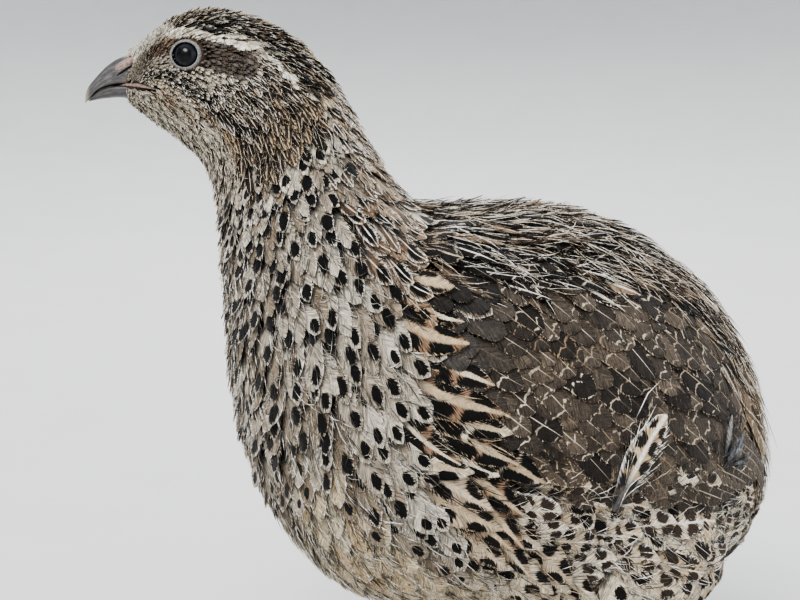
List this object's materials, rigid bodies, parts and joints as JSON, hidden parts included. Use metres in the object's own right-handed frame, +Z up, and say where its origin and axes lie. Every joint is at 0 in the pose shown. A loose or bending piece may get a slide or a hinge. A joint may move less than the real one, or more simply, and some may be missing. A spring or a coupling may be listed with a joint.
{
  "type": "coturnix quail",
  "caption": "Still, life-size model of a speckled hen quail standing alert, with raised neck, folded wings, short tail, scaled legs and long toes.",
  "frame": {"origin": "centre of the bounding box's underside, on the floor that the soles stand on", "axes": "-X is forward, the way the breast faces; +Z is up; -Y is the bird's left side. The head is turned a little to its right, towards +Y"},
  "size_m": [0.162, 0.083, 0.1622],
  "materials": {
    "breast_feathers": "soft buff feathers with round black spots",
    "neck_feathers": "soft brown, black and cream mottled feathers",
    "head_feathers": "short close feathers with a cream brow and a dark cap",
    "wing_feathers": "smooth grey-brown feathers with wavy pale bars",
    "tail_feathers": "brown feathers with buff bars and pale shafts",
    "thigh_feathers": "fluffy buff feathers with dark ovals",
    "bill_horn": "slate horn with a dull shine and paler edges",
    "eye": "wet, nearly black, glossy",
    "leg_skin": "scaled pinkish skin",
    "claw": "brown horn with a dull shine"
  },
  "bodies": {
    "root": {"torso": "breast_feathers", "neck": "neck_feathers", "head": "head_feathers", "bill_upper": "bill_horn", "bill_lower": "bill_horn", "eye_left": "eye", "eye_right": "eye", "wing_left": "wing_feathers", "wing_right": "wing_feathers", "tail": "tail_feathers", "thigh_left": "thigh_feathers", "thigh_right": "thigh_feathers", "shank_left": "leg_skin", "shank_right": "leg_skin", "foot_left": "leg_skin", "foot_right": "leg_skin", "claw_left_inner": "claw", "claw_left_middle": "claw", "claw_left_outer": "claw", "claw_left_hind": "claw", "claw_right_inner": "claw", "claw_right_middle": "claw", "claw_right_outer": "claw", "claw_right_hind": "claw"}
  },
  "joints": []
}
